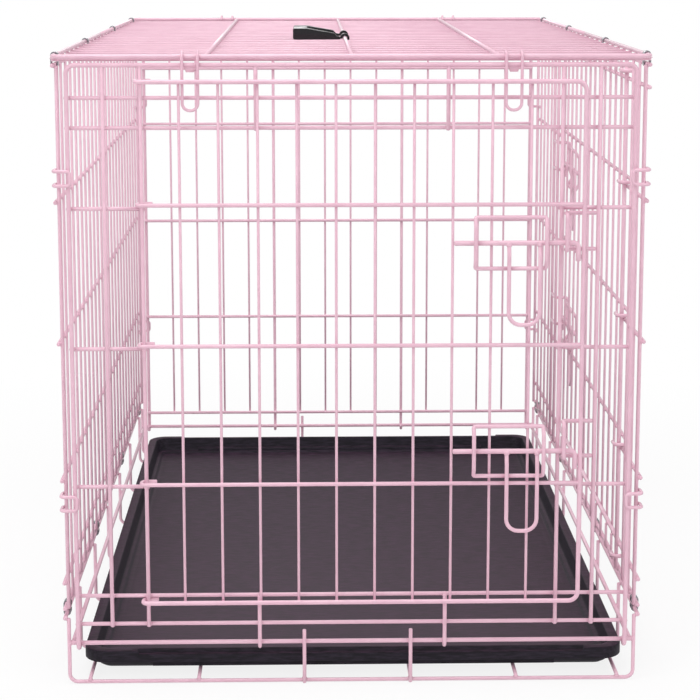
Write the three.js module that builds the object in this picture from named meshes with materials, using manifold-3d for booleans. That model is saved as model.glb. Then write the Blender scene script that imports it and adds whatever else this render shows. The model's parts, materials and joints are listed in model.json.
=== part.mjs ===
// A folding wire dog crate, in millimetres: +X across the crate, +Y from the door end to the far end,
// +Z up. Welded wire panels are clipped together along the four long edges, the end panels hinge on the
// base's end rails, and two slide-bolted doors hang on their jamb wires. The origin is the middle of the
// footprint, on the floor.
import * as THREE from "three";
import { mergeVertices } from "three/addons/utils/BufferGeometryUtils.js";
import Module from "manifold-3d";

// Wire diameters.
const FRAME_WIRE = 4.5; // outlines of the end panels, doors and roof
const RAIL_WIRE = 4; // horizontal rails, jambs and latch wires
const FILL_WIRE = 2.8; // the closely spaced bars
const BASE_WIRE = 3.8; // floor grid and its turned-up ends
const HINGE_RAIL = 4.4; // end rails of the base, which the end panels hook round
const BOLT_ROD = 5;
const SPRING_WIRE = 3;
const HOOK_WIRE = 3.5;

// Fits.
const WELD = 0.3; // how far two welded wires sink into each other
const RUN = 0.4; // running clearance between pieces that move
const GAP = 0.3; // gap between pieces that touch

// Crate.
const BASE_LENGTH = 904; // between the axes of the two hinge rails
const SIDE_SPREAD = 574; // between the long wires of the two side panels
const BAR_SPACES = 23; // spaces between the bars along the crate
const SIDE_SETBACK = 3; // edge bars of a side panel, behind the hinge rails
const ROOF_Z = 627.5; // axis of the roof's outline wire
const CLIP_PITCH = 8.5; // between the two wires that a clip holds together
const CLIP_SPACES = [0.5, 7.5, 15.5, 22.5]; // clips along an edge, in bar spaces
const LOW_EDGE_Z = 68.5; // long top wires of the base

// Base.
const HINGE_Z = 42.5; // axis of the hinge rails
const FLOOR_BARS_X = [-263, -154, -48, 58.5, 165, 267];
const FLOOR_CROSS_FIRST = 0.11; // cross wires, as shares of the way between the hinge rails
const FLOOR_CROSS_STEP = 0.167;
const FLOOR_CROSS_COUNT = 6;
const FLOOR_CORNER = 8; // bend radius where a cross wire turns up
const STOP_TOP_Z = 56; // tops of the short uprights in front of the hinge rails
const STOP_BARS_X = { front: [-48, 58.5], back: [-52, 54] };

// End panels.
const PANEL_WIDTH = 547.4; // between the axes of the frame's legs
const PANEL_CORNER = 8;
const PANEL_RAILS_Z = { sill: 62.5, low: 91.7, one: 203.8, two: 342.6, three: 480.8, head: 559 };
const TOP_RAIL_DROP = 31.6; // highest rail of the front panel, below its frame's top
const OUTER_BAR_X = 239.2; // bar between each jamb and the frame's leg
const MIDDLE_HOOK_X = 92.5; // short hooked bars either side of the middle
const BACK_SPACES = 15; // spaces between the bars of the back panel
const HOOK_TIP = 1; // how far a hinge hook comes up behind the rail

// Front doorway and door, from the hinge jamb.
const FRONT_JAMB_X = 203;
const FRONT_DOOR_STANDOFF = 8.45; // door plane in front of the jambs
const DOOR_OVERLAP = 21.5; // door past the latch jamb
const DOOR_CORNER = 9;
const DOOR_TAIL = 10; // how far a door hook returns behind the jamb
const DOOR_RAIL_LIFT = 4.6; // a door's rails, above the panel's
const FRONT_DOOR_RISE = 16; // door's top, above the highest rail behind it
const FRONT_DOOR_FIRST_BAR = 36.9;
const FRONT_DOOR_BAR_PITCH = 37.62;
const FRONT_DOOR_BARS = 10;

// Side doorway and door, in bar spaces from the front.
const SIDE_HINGE_SPACE = 3;
const SIDE_LATCH_SPACE = 17;
const SIDE_DOOR_STANDOFF = 10.6;
const SIDE_DOOR_RISE = 9; // door's top, above the highest rail behind it
const SIDE_DOOR_DROP = 12; // door's bottom, below the lowest rail behind it
const SIDE_RAILS_Z = { low: 104, one: 209, two: 347, three: 486.5, head: 597 };

// Slide bolts, from the latch jamb and from the rod's axis.
const FRONT_BOLTS_Z = { lower: 241, upper: 448 };
const SIDE_BOLTS_Z = { lower: 243.5, upper: 448.5 };
const ROD_INNER = 104.5; // inner end of the rod, before the jamb
const ROD_OUTER = 15.8; // bent tip of the rod, past the jamb
const TIP_DROP = 18;
const PULL_INNER = 51.5; // legs of the pull, before the jamb
const PULL_OUTER = 21.5;
const PULL_DROP = 80;
const PULL_CORNER = 12;
const GUIDE_INNER = 84; // sides of the guide ring, before the jamb
const GUIDE_OUTER = 15.5;
const GUIDE_HEIGHT = 50;
const KEEPER_DOWN = 7.3; // lower leg of the keeper, below the rod's axis
const KEEPER_UP = 28;

// Spring latches over the roof wire, and hooks that hold the end panels square.
const SPRING_X = 155;
const SPRING_WIDTH = 15;
const SPRING_DROP = 51.5; // closed end of the finger loop, below the roof wire
const CORNER_HOOKS_Z = [188.5, 511];
const CORNER_HOOK_HEIGHT = 14;
const CORNER_HOOK_REACH = 2; // past the axis of the end panel's leg

// Roof.
const ROOF_CORNER = 10;
const ROOF_BARS_X = [-141, 0, 142];
const ROOF_BAR_END = 4; // a long roof bar stops this far short of the outline wire
const ROOF_CLEARANCE = 0.7; // end panels' frames below the roof's cross bars

// Edge clips.
const CLIP_STEEL = 1.2;
const CLIP_WIDTH = 9;
const CLIP_MOUTH = 3;

// Tray.
const TRAY_WIDTH = 546;
const TRAY_LENGTH = 886;
const TRAY_SHIFT_X = 2;
const TRAY_WALL = 2.5;
const TRAY_TOP_Z = 30;
const TRAY_SKIRT = 12.6; // depth of the turned-down edge
const TRAY_LIP = 8; // flat rim, from the tray's edge to the outside of the wall
const TRAY_TAPER = 9; // how far the wall slopes in from rim to floor
const TRAY_CORNER = 24;
const TRAY_LEDGE = { width: 5, slope: 4, height: 2.5 }; // low step inside the foot of the wall
const TRAY_STEP = { width: 449, shift: 7.5, depth: 6, drop: 3.5 }; // recess along both end rims

// Carrying handle.
const HANDLE_SPACES = [9.3, 11.2]; // its two hooks, in bar spaces along the roof
const HANDLE_REACH = 59; // far edge of the grip, from the roof's middle bar
const HANDLE_GRIP = 16; // width of the grip
const HANDLE_ARM = 11; // width of each arm
const HANDLE_THICK = { grip: 12.5, root: 7 };
const HANDLE_HOOK = { width: 7, thick: 3, tip: 36 }; // tip in degrees past the bar's side
const HANDLE_EDGE = 2; // rounding of the grip's edges

const BEND_STEP = Math.PI / 4; // turn of a bent wire between two sections

const PINK = 0xe6b4c9;
const PLASTIC = 0x2b272d;
const ZINC = 0xa9a9ad;

const wasm = await Module();
wasm.setup();

// A wire's centre line: straight stretches joined by bends. Its section keeps one corner towards `ridge`.
class WireLine extends THREE.Curve {
  constructor(stations, ridge) {
    super();
    this.stations = stations;
    this.ridge = ridge;
  }
  getSpacedPoints() {
    return this.stations;
  }
  computeFrenetFrames() {
    const points = this.stations;
    const last = points.length - 1;
    const tangents = points.map((_, i) => {
      const before = points[i].clone().sub(points[Math.max(i - 1, 0)]).normalize();
      const after = points[Math.min(i + 1, last)].clone().sub(points[i]).normalize();
      return before.add(after).normalize();
    });
    const normals = [];
    let ridge = this.ridge.clone();
    for (const tangent of tangents) {
      ridge = ridge.clone().addScaledVector(tangent, -ridge.dot(tangent)).normalize();
      normals.push(ridge);
    }
    const binormals = tangents.map((tangent, i) => tangent.clone().cross(normals[i]));
    return { tangents, normals, binormals };
  }
}

// Stations along a line through `corners`, each [x, y, z] or [x, y, z, bend radius].
function bent(corners) {
  const points = corners.map((c) => new THREE.Vector3(c[0], c[1], c[2]));
  const stations = [points[0]];
  for (let i = 1; i < points.length - 1; i++) {
    const back = points[i - 1].clone().sub(points[i]).normalize();
    const on = points[i + 1].clone().sub(points[i]).normalize();
    const turn = Math.PI - back.angleTo(on);
    const radius = corners[i][3] ?? RAIL_WIRE;
    const trim = radius * Math.tan(turn / 2);
    const inward = back.clone().add(on).normalize();
    const centre = points[i].clone().addScaledVector(inward, radius / Math.cos(turn / 2));
    const steps = Math.max(1, Math.round(turn / BEND_STEP));
    const from = points[i].clone().addScaledVector(back, trim).sub(centre);
    const axis = from.clone().cross(points[i].clone().addScaledVector(on, trim).sub(centre)).normalize();
    for (let k = 0; k <= steps; k++)
      stations.push(from.clone().applyAxisAngle(axis, (turn * k) / steps).add(centre));
  }
  stations.push(points[points.length - 1]);
  return stations.filter((p, i) => i === 0 || p.distanceTo(stations[i - 1]) > 1e-3);
}

// A round wire through `corners`, as a prism of 6 or 8 sides.
function wire(corners, diameter, ridge) {
  const sides = diameter > FRAME_WIRE ? 8 : 6;
  const section = new THREE.Shape();
  for (let i = 0; i < sides; i++) {
    const angle = (2 * Math.PI * i) / sides;
    const x = (diameter / 2) * Math.cos(angle);
    const y = (diameter / 2) * Math.sin(angle);
    if (i) section.lineTo(x, y);
    else section.moveTo(x, y);
  }
  const stations = bent(corners);
  const extrudePath = new WireLine(stations, new THREE.Vector3(...ridge));
  const steps = stations.length - 1;
  return new THREE.ExtrudeGeometry(section, { steps, bevelEnabled: false, extrudePath });
}

const ALONG_X = [1, 0, 0];
const ALONG_Y = [0, 1, 0];
const ALONG_Z = [0, 0, 1];

function toSolid(geometry) {
  const bare = geometry.index ? geometry.toNonIndexed() : geometry.clone();
  bare.deleteAttribute("normal");
  bare.deleteAttribute("uv");
  const merged = mergeVertices(bare, 1e-4);
  const { array } = merged.attributes.position;
  return new wasm.Manifold(
    new wasm.Mesh({ numProp: 3, vertProperties: array, triVerts: new Uint32Array(merged.index.array) }),
  );
}

function toGeometry(solid) {
  const mesh = solid.getMesh();
  const positions = new Float32Array(mesh.numVert * 3);
  for (let i = 0; i < mesh.numVert; i++)
    positions.set(mesh.vertProperties.subarray(i * mesh.numProp, i * mesh.numProp + 3), 3 * i);
  return new THREE.BufferGeometry()
    .setAttribute("position", new THREE.BufferAttribute(positions, 3))
    .setIndex(new THREE.BufferAttribute(mesh.triVerts, 1));
}

// One welded piece made of many wires.
function welded(wires) {
  return toGeometry(wires.map(toSolid).reduce((whole, next) => whole.add(next)));
}

const crate = new THREE.Group();

function place(name, geometry, material, parent = crate) {
  const mesh = new THREE.Mesh(geometry, new THREE.MeshStandardMaterial(material));
  mesh.name = name;
  parent.add(mesh);
  return mesh;
}

const PAINTED_WIRE = { color: PINK, roughness: 0.38, metalness: 0 };
const BLACK_PLASTIC = { color: PLASTIC, roughness: 0.6, metalness: 0 };
const ZINC_STEEL = { color: ZINC, roughness: 0.3, metalness: 1 };

// Where the layers of wire lie.
const hingeY = BASE_LENGTH / 2;
const sideX = SIDE_SPREAD / 2;
const panelX = PANEL_WIDTH / 2;
const sideEndY = hingeY - SIDE_SETBACK; // edge bars of the side panels
const barPitch = (2 * sideEndY) / BAR_SPACES;
const barY = (space) => -sideEndY + space * barPitch;
const frameHook = HINGE_RAIL / 2 + RUN + FRAME_WIRE / 2; // radius of a leg's hook round the hinge rail
const panelY = hingeY + frameHook; // plane of the frames of the end panels
const railY = panelY - (FRAME_WIRE / 2 + RAIL_WIRE / 2 - WELD); // plane of their rails
const jambY = railY + RAIL_WIRE - WELD; // plane of the jambs and other thick bars
const jambHook = jambY - hingeY;
const backBarY = railY + RAIL_WIRE / 2 + FILL_WIRE / 2 - WELD;
const edgeBarX = sideX - (RAIL_WIRE - WELD); // thick bars of a side panel
const fillBarX = sideX - (RAIL_WIRE / 2 + FILL_WIRE / 2 - WELD);
const crossBarZ = ROOF_Z - (FRAME_WIRE / 2 + FILL_WIRE / 2 - WELD); // thin bars, under the roof's outline
const roofBarZ = crossBarZ + FILL_WIRE / 2 + RAIL_WIRE / 2 - WELD; // long bars on top of them
const panelTopZ = crossBarZ - FILL_WIRE / 2 - ROOF_CLEARANCE - FRAME_WIRE / 2;
const topRailZ = panelTopZ - TOP_RAIL_DROP;

// ---- Base: a floor grid of wires turned up at the sides, with a hinge rail at each end.
{
  const uprightX = sideX - (RAIL_WIRE / 2 + BASE_WIRE / 2 - WELD);
  const crossZ = BASE_WIRE / 2;
  const barZ = crossZ + BASE_WIRE - WELD;
  const sideRailX = uprightX - (BASE_WIRE / 2 + HINGE_RAIL / 2 - WELD);
  const crossYs = [-hingeY, hingeY];
  for (let i = 0; i < FLOOR_CROSS_COUNT; i++)
    crossYs.push(-hingeY + BASE_LENGTH * (FLOOR_CROSS_FIRST + i * FLOOR_CROSS_STEP));
  const wires = [];
  for (const y of crossYs)
    wires.push(
      wire(
        [
          [-uprightX, y, LOW_EDGE_Z],
          [-uprightX, y, crossZ, FLOOR_CORNER],
          [uprightX, y, crossZ, FLOOR_CORNER],
          [uprightX, y, LOW_EDGE_Z],
        ],
        BASE_WIRE,
        ALONG_X,
      ),
    );
  const barEnd = hingeY + BASE_WIRE / 2;
  for (const x of FLOOR_BARS_X)
    wires.push(wire([[x, -barEnd, barZ], [x, barEnd, barZ]], BASE_WIRE, ALONG_Z));
  for (const side of [-1, 1]) {
    const x = side * sideX;
    wires.push(wire([[x, -barEnd, LOW_EDGE_Z], [x, barEnd, LOW_EDGE_Z]], RAIL_WIRE, ALONG_X));
    const railX = side * sideRailX;
    wires.push(wire([[railX, -hingeY, HINGE_Z], [railX, hingeY, HINGE_Z]], HINGE_RAIL, ALONG_X));
  }
  const stopY = hingeY + BASE_WIRE - WELD;
  for (const [end, xs] of [[-1, STOP_BARS_X.front], [1, STOP_BARS_X.back]]) {
    const y = end * hingeY;
    wires.push(wire([[-uprightX, y, HINGE_Z], [uprightX, y, HINGE_Z]], HINGE_RAIL, ALONG_Y));
    for (const x of xs)
      wires.push(wire([[x, end * stopY, 0], [x, end * stopY, STOP_TOP_Z]], BASE_WIRE, ALONG_Y));
  }
  place("base_frame", welded(wires), PAINTED_WIRE);
}

// ---- Side panels: thin upright bars inside long rails; the right one has the side doorway.
const lowWireZ = LOW_EDGE_Z + CLIP_PITCH;
const highWireZ = ROOF_Z - CLIP_PITCH;
for (const side of [-1, 1]) {
  const hasDoor = side > 0;
  const railEnd = hingeY;
  const wires = [];
  const rail = (z, from, to) =>
    wires.push(wire([[side * sideX, from, z], [side * sideX, to, z]], RAIL_WIRE, ALONG_X));
  const bar = (space, from, to) => {
    const thick = [0, BAR_SPACES].includes(space) || (hasDoor && isJamb(space));
    const x = side * (thick ? edgeBarX : fillBarX);
    const y = barY(space);
    wires.push(wire([[x, y, from], [x, y, to]], thick ? RAIL_WIRE : FILL_WIRE, ALONG_X));
  };
  for (const z of [lowWireZ, SIDE_RAILS_Z.low, highWireZ]) rail(z, -railEnd, railEnd);
  if (hasDoor) rail(SIDE_RAILS_Z.head, -railEnd, railEnd);
  for (const z of [SIDE_RAILS_Z.one, SIDE_RAILS_Z.two, SIDE_RAILS_Z.three])
    if (hasDoor) {
      rail(z, -railEnd, barY(SIDE_HINGE_SPACE));
      rail(z, barY(SIDE_LATCH_SPACE), railEnd);
    } else rail(z, -railEnd, railEnd);
  for (let space = 0; space <= BAR_SPACES; space++) {
    const inDoorway = hasDoor && space > SIDE_HINGE_SPACE && space < SIDE_LATCH_SPACE;
    if (inDoorway) {
      bar(space, lowWireZ, SIDE_RAILS_Z.low);
      bar(space, SIDE_RAILS_Z.head, highWireZ);
    } else bar(space, lowWireZ, highWireZ);
  }
  place(side < 0 ? "left_side_panel" : "right_side_panel", welded(wires), PAINTED_WIRE);
}

// The jambs of the side doorway, and the thick bar behind the latch jamb that carries the keepers.
function isJamb(space) {
  return [SIDE_HINGE_SPACE, SIDE_LATCH_SPACE, SIDE_LATCH_SPACE + 1].includes(space);
}

// ---- Roof: an outline wire, cross bars under it and three long bars on top of them.
{
  const wires = [];
  const seam = 1; // overlap of the two halves of the outline wire
  for (const end of [-1, 1]) {
    const y = end * panelY;
    wires.push(
      wire(
        [
          [-sideX, -end * seam, ROOF_Z],
          [-sideX, y, ROOF_Z, ROOF_CORNER],
          [sideX, y, ROOF_Z, ROOF_CORNER],
          [sideX, -end * seam, ROOF_Z],
        ],
        FRAME_WIRE,
        ALONG_Z,
      ),
    );
  }
  for (let space = 0; space <= BAR_SPACES; space++) {
    const y = barY(space);
    wires.push(wire([[-sideX - 1, y, crossBarZ], [sideX + 1, y, crossBarZ]], FILL_WIRE, ALONG_Z));
  }
  const end = panelY - FRAME_WIRE / 2 - ROOF_BAR_END;
  for (const x of ROOF_BARS_X)
    wires.push(wire([[x, -end, roofBarZ], [x, end, roofBarZ]], RAIL_WIRE, ALONG_Z));
  place("roof_panel", welded(wires), PAINTED_WIRE);
}

// ---- End panels: a frame wire whose legs hook round the hinge rail, rails behind it and upright bars.
// A hooked leg comes round the hinge rail from behind, at a distance `hook` from its axis.
function hookedFoot(x, hook) {
  return [
    [x, -hingeY + hook, HINGE_Z + HOOK_TIP],
    [x, -hingeY + hook, HINGE_Z - hook, hook],
    [x, -hingeY - hook, HINGE_Z - hook, hook],
  ];
}

function endPanelFrame() {
  return wire(
    [
      ...hookedFoot(-panelX, frameHook),
      [-panelX, -panelY, panelTopZ, PANEL_CORNER],
      [panelX, -panelY, panelTopZ, PANEL_CORNER],
      ...hookedFoot(panelX, frameHook).reverse(),
    ],
    FRAME_WIRE,
    ALONG_Y,
  );
}

const panelRail = (z, from, to) => wire([[from, -railY, z], [to, -railY, z]], RAIL_WIRE, ALONG_Y);
const hookedBar = (x, top) => wire([...hookedFoot(x, jambHook), [x, -jambY, top]], RAIL_WIRE, ALONG_Y);

const panelRailEnd = panelX + RAIL_WIRE / 2;

const frontPanel = new THREE.Group();
crate.add(frontPanel);
{
  const { sill, low, one, two, three, head } = PANEL_RAILS_Z;
  const wires = [endPanelFrame()];
  for (const z of [sill, low, head, topRailZ]) wires.push(panelRail(z, -panelRailEnd, panelRailEnd));
  for (const z of [one, two, three]) {
    wires.push(panelRail(z, -panelRailEnd, -FRONT_JAMB_X));
    wires.push(panelRail(z, FRONT_JAMB_X, panelRailEnd));
  }
  for (const x of [-OUTER_BAR_X, -FRONT_JAMB_X, FRONT_JAMB_X, OUTER_BAR_X])
    wires.push(wire([[x, -jambY, sill - RAIL_WIRE / 2], [x, -jambY, panelTopZ]], RAIL_WIRE, ALONG_Y));
  for (const x of [-MIDDLE_HOOK_X, MIDDLE_HOOK_X]) {
    wires.push(wire([[x, -jambY, head - RAIL_WIRE / 2], [x, -jambY, panelTopZ]], RAIL_WIRE, ALONG_Y));
    wires.push(hookedBar(x, low));
  }
  place("front_panel", welded(wires), PAINTED_WIRE, frontPanel);
}

const backPanel = new THREE.Group();
backPanel.rotation.z = Math.PI;
crate.add(backPanel);
{
  const { sill, one, two, three, head } = PANEL_RAILS_Z;
  const wires = [endPanelFrame()];
  for (const z of [sill, one, two, three, head]) wires.push(panelRail(z, -panelRailEnd, panelRailEnd));
  const pitch = PANEL_WIDTH / BACK_SPACES;
  const hooked = [5, BACK_SPACES - 5];
  for (let i = 1; i < BACK_SPACES; i++) {
    const x = -panelX + i * pitch;
    if (hooked.includes(i)) wires.push(hookedBar(x, panelTopZ));
    else wires.push(wire([[x, -backBarY, sill], [x, -backBarY, panelTopZ]], FILL_WIRE, ALONG_Y));
  }
  place("back_panel", welded(wires), PAINTED_WIRE, backPanel);
}

// ---- Spring latches: a finger loop on each side of an end panel, hooked over the roof's outline wire.
{
  const legY = panelY + FRAME_WIRE / 2 + GAP + SPRING_WIRE / 2;
  const hook = legY - panelY;
  const overRoof = (x) => [
    [x, -panelY + hook, ROOF_Z - 1],
    [x, -panelY + hook, ROOF_Z + hook, hook],
    [x, -legY, ROOF_Z + hook, hook],
  ];
  for (const [panel, end] of [[frontPanel, "front"], [backPanel, "back"]])
    for (const side of [-1, 1]) {
      const left = side * SPRING_X - SPRING_WIDTH / 2;
      const right = left + SPRING_WIDTH;
      const loop = wire(
        [
          ...overRoof(left),
          [left, -legY, ROOF_Z - SPRING_DROP, SPRING_WIDTH / 2 - 0.5],
          [right, -legY, ROOF_Z - SPRING_DROP, SPRING_WIDTH / 2 - 0.5],
          ...overRoof(right).reverse(),
        ],
        SPRING_WIRE,
        ALONG_Y,
      );
      const isLeft = end === "front" ? side < 0 : side > 0;
      place(`${end}_${isLeft ? "left" : "right"}_spring_latch`, loop, PAINTED_WIRE, panel);
    }
}

// ---- Corner hooks: bent wires on the side panels' edge bars that reach in front of the end panels.
{
  const frontY = panelY + FRAME_WIRE / 2 + RUN + HOOK_WIRE / 2;
  const round = RAIL_WIRE / 2 + GAP + HOOK_WIRE / 2; // from the edge bar's axis
  const outX = edgeBarX + round;
  const backY = sideEndY - round;
  const endX = panelX - CORNER_HOOK_REACH;
  for (const [end, endName] of [[-1, "front"], [1, "back"]])
    for (const [side, sideName] of [[-1, "left"], [1, "right"]])
      CORNER_HOOKS_Z.forEach((z, i) => {
        const prong = (height) => [
          [side * edgeBarX, end * backY, height],
          [side * outX, end * backY, height, round],
          [side * outX, end * frontY, height, round],
          [side * endX, end * frontY, height, HOOK_WIRE],
        ];
        const high = z + CORNER_HOOK_HEIGHT / 2;
        const low = z - CORNER_HOOK_HEIGHT / 2;
        const hook = wire([...prong(high), ...prong(low).reverse()], HOOK_WIRE, ALONG_Z);
        place(`${endName}_${sideName}_${i ? "upper" : "lower"}_corner_hook`, hook, PAINTED_WIRE);
      });
}

// ---- Doors. Each is made about its hinge jamb: +X towards the latch, -Y outwards.
function doorWires({ standoff, width, levels, bars }) {
  const hook = RAIL_WIRE / 2 + RUN + FRAME_WIRE / 2; // from the jamb's axis
  const roundJamb = (z) => [
    [DOOR_TAIL, hook, z],
    [-hook, hook, z, hook],
    [-hook, -standoff, z, hook],
  ];
  const frame = wire(
    [
      ...roundJamb(levels.top),
      [width, -standoff, levels.top, DOOR_CORNER],
      [width, -standoff, levels.bottom, DOOR_CORNER],
      ...roundJamb(levels.bottom).reverse(),
    ],
    FRAME_WIRE,
    ALONG_Y,
  );
  const rails = levels.rails.map((z) => wire([...roundJamb(z), [width, -standoff, z]], RAIL_WIRE, ALONG_Y));
  const barY = -standoff + RAIL_WIRE / 2 + FILL_WIRE / 2 - WELD;
  const fill = bars.map((x) => wire([[x, barY, levels.bottom], [x, barY, levels.top]], FILL_WIRE, ALONG_Y));
  return welded([frame, ...rails, ...fill]);
}

// ---- Slide bolts, with the guide ring on the door and the keeper on the panel. All are made about the
// latch jamb and the rod's axis: +X past the jamb, -Y outwards. The keeper ends at the bar at `reach`.
function boltParts(standoff, reach) {
  const barFront = standoff - (RAIL_WIRE / 2 + FILL_WIRE / 2 - WELD) + FILL_WIRE / 2;
  const rod = barFront + RUN + BOLT_ROD / 2; // all of these are distances outwards from the jamb
  const overRod = rod + BOLT_ROD / 2 + RUN + RAIL_WIRE / 2;
  const guideBack = barFront + GAP + RAIL_WIRE / 2;
  const pull = guideBack + RAIL_WIRE + RUN;
  const bolt = welded([
    wire(
      [
        [-ROD_INNER, -rod, 0],
        [ROD_OUTER, -rod, 0, BOLT_ROD],
        [ROD_OUTER, -rod, -TIP_DROP],
      ],
      BOLT_ROD,
      ALONG_Y,
    ),
    wire(
      [
        [-PULL_INNER, -rod, 0],
        [-PULL_INNER, -pull, -GUIDE_HEIGHT / 4, RAIL_WIRE],
        [-PULL_INNER, -pull, -PULL_DROP, PULL_CORNER],
        [-PULL_OUTER, -pull, -PULL_DROP, PULL_CORNER],
        [-PULL_OUTER, -pull, -GUIDE_HEIGHT / 4, RAIL_WIRE],
        [-PULL_OUTER, -rod, 0],
      ],
      RAIL_WIRE,
      ALONG_Y,
    ),
  ]);
  const top = GUIDE_HEIGHT / 2;
  const shoulder = top - 2 * RAIL_WIRE;
  const middle = -(GUIDE_INNER + GUIDE_OUTER) / 2;
  const guideSide = (x, up) => [
    [x, -guideBack, -up * top, RAIL_WIRE / 2],
    [x, -overRod, -up * shoulder, RAIL_WIRE],
    [x, -overRod, up * shoulder, RAIL_WIRE],
    [x, -guideBack, up * top, RAIL_WIRE / 2],
  ];
  const guide = wire(
    [
      [middle + GAP / 2, -guideBack, -top],
      ...guideSide(-GUIDE_OUTER, 1),
      ...guideSide(-GUIDE_INNER, -1),
      [middle - GAP / 2, -guideBack, -top],
    ],
    RAIL_WIRE,
    ALONG_Y,
  );
  const keeperX = RAIL_WIRE + GAP;
  const keeperEnd = reach - RAIL_WIRE / 2 - GAP;
  const keeper = wire(
    [
      [keeperEnd, 0, KEEPER_UP],
      [keeperX, 0, KEEPER_UP, RAIL_WIRE],
      [keeperX, -overRod, KEEPER_UP, RAIL_WIRE],
      [keeperX, -overRod, -KEEPER_DOWN, RAIL_WIRE],
      [keeperX, 0, -KEEPER_DOWN, RAIL_WIRE],
      [keeperEnd, 0, -KEEPER_DOWN],
    ],
    RAIL_WIRE,
    ALONG_Z,
  );
  return { bolt, guide, keeper };
}

function addBolts(doorway, name, standoff, latch, reach, heights) {
  for (const [level, z] of Object.entries(heights)) {
    const parts = boltParts(standoff, reach);
    for (const [kind, geometry] of Object.entries(parts)) {
      const suffix = { bolt: "slide_bolt", guide: "bolt_guide", keeper: "bolt_keeper" }[kind];
      const mesh = place(`${name}_${level}_${suffix}`, geometry, PAINTED_WIRE, doorway);
      mesh.position.set(latch, 0, z);
    }
  }
}

{
  const doorway = new THREE.Group();
  doorway.position.set(-FRONT_JAMB_X, -jambY, 0);
  frontPanel.add(doorway);
  const latch = 2 * FRONT_JAMB_X;
  const bars = [];
  for (let i = 0; i < FRONT_DOOR_BARS; i++) bars.push(FRONT_DOOR_FIRST_BAR + i * FRONT_DOOR_BAR_PITCH);
  const { low, one, two, three } = PANEL_RAILS_Z;
  const levels = {
    bottom: low - RAIL_WIRE / 2 - RUN - FRAME_WIRE / 2,
    rails: [one, two, three].map((z) => z + DOOR_RAIL_LIFT),
    top: topRailZ + FRONT_DOOR_RISE,
  };
  const door = { standoff: FRONT_DOOR_STANDOFF, width: latch + DOOR_OVERLAP, levels, bars };
  place("front_door", doorWires(door), PAINTED_WIRE, doorway);
  addBolts(doorway, "front", FRONT_DOOR_STANDOFF, latch, OUTER_BAR_X - FRONT_JAMB_X, FRONT_BOLTS_Z);
}

{
  const doorway = new THREE.Group();
  doorway.position.set(edgeBarX, barY(SIDE_HINGE_SPACE), 0);
  doorway.rotation.z = Math.PI / 2;
  crate.add(doorway);
  const spaces = SIDE_LATCH_SPACE - SIDE_HINGE_SPACE;
  const latch = spaces * barPitch;
  const bars = [];
  for (let i = 1; i < spaces; i++) bars.push(i * barPitch);
  const { low, one, two, three, head } = SIDE_RAILS_Z;
  const levels = {
    bottom: low - SIDE_DOOR_DROP,
    rails: [one, two, three].map((z) => z + DOOR_RAIL_LIFT),
    top: head + SIDE_DOOR_RISE,
  };
  const door = { standoff: SIDE_DOOR_STANDOFF, width: latch + DOOR_OVERLAP, levels, bars };
  place("side_door", doorWires(door), PAINTED_WIRE, doorway);
  addBolts(doorway, "side", SIDE_DOOR_STANDOFF, latch, barPitch, SIDE_BOLTS_Z);
}

// ---- Edge clips: steel strips closed round the two wires where panels meet.
{
  const inner = FRAME_WIRE / 2 + GAP;
  const outer = inner + CLIP_STEEL;
  const half = CLIP_PITCH / 2;
  const outline = new THREE.Shape();
  outline.moveTo(-outer, -half);
  outline.absarc(0, -half, outer, Math.PI, 2 * Math.PI, false);
  outline.absarc(0, half, outer, 0, Math.PI, false);
  outline.lineTo(-outer, CLIP_MOUTH / 2);
  outline.lineTo(-inner, CLIP_MOUTH / 2);
  outline.absarc(0, half, inner, Math.PI, 0, true);
  outline.absarc(0, -half, inner, 2 * Math.PI, Math.PI, true);
  outline.lineTo(-inner, -CLIP_MOUTH / 2);
  outline.lineTo(-outer, -CLIP_MOUTH / 2);
  outline.closePath();
  const strip = { depth: CLIP_WIDTH, bevelEnabled: false, curveSegments: 3 };
  const clip = new THREE.ExtrudeGeometry(outline, strip);
  clip.translate(0, 0, -CLIP_WIDTH / 2);
  clip.rotateX(Math.PI / 2);
  for (const [level, z] of [["lower", LOW_EDGE_Z + half], ["roof", ROOF_Z - half]])
    for (const [side, sideName] of [[-1, "left"], [1, "right"]])
      CLIP_SPACES.forEach((space, i) => {
        const mesh = place(`${level}_${sideName}_edge_clip_${i + 1}`, clip, ZINC_STEEL);
        mesh.position.set(side * sideX, barY(space), z);
        if (side < 0) mesh.rotation.z = Math.PI;
      });
}

// ---- Tray: a moulded pan with a flat rim, a turned-down edge and a ledge round its floor.
// A rounded rectangle, inset from the tray's outline on all sides.
function trayOutline(inset, corner = TRAY_CORNER) {
  const x = TRAY_WIDTH / 2 - inset;
  const y = TRAY_LENGTH / 2 - inset;
  const r = Math.max(corner - inset / 2, TRAY_WALL);
  const shape = new THREE.Shape();
  shape.moveTo(x, -y + r);
  shape.absarc(x - r, y - r, r, 0, Math.PI / 2, false);
  shape.absarc(-x + r, y - r, r, Math.PI / 2, Math.PI, false);
  shape.absarc(-x + r, -y + r, r, Math.PI, 1.5 * Math.PI, false);
  shape.absarc(x - r, -y + r, r, 1.5 * Math.PI, 2 * Math.PI, false);
  return shape.extractPoints(4).shape.slice(1);
}

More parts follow.
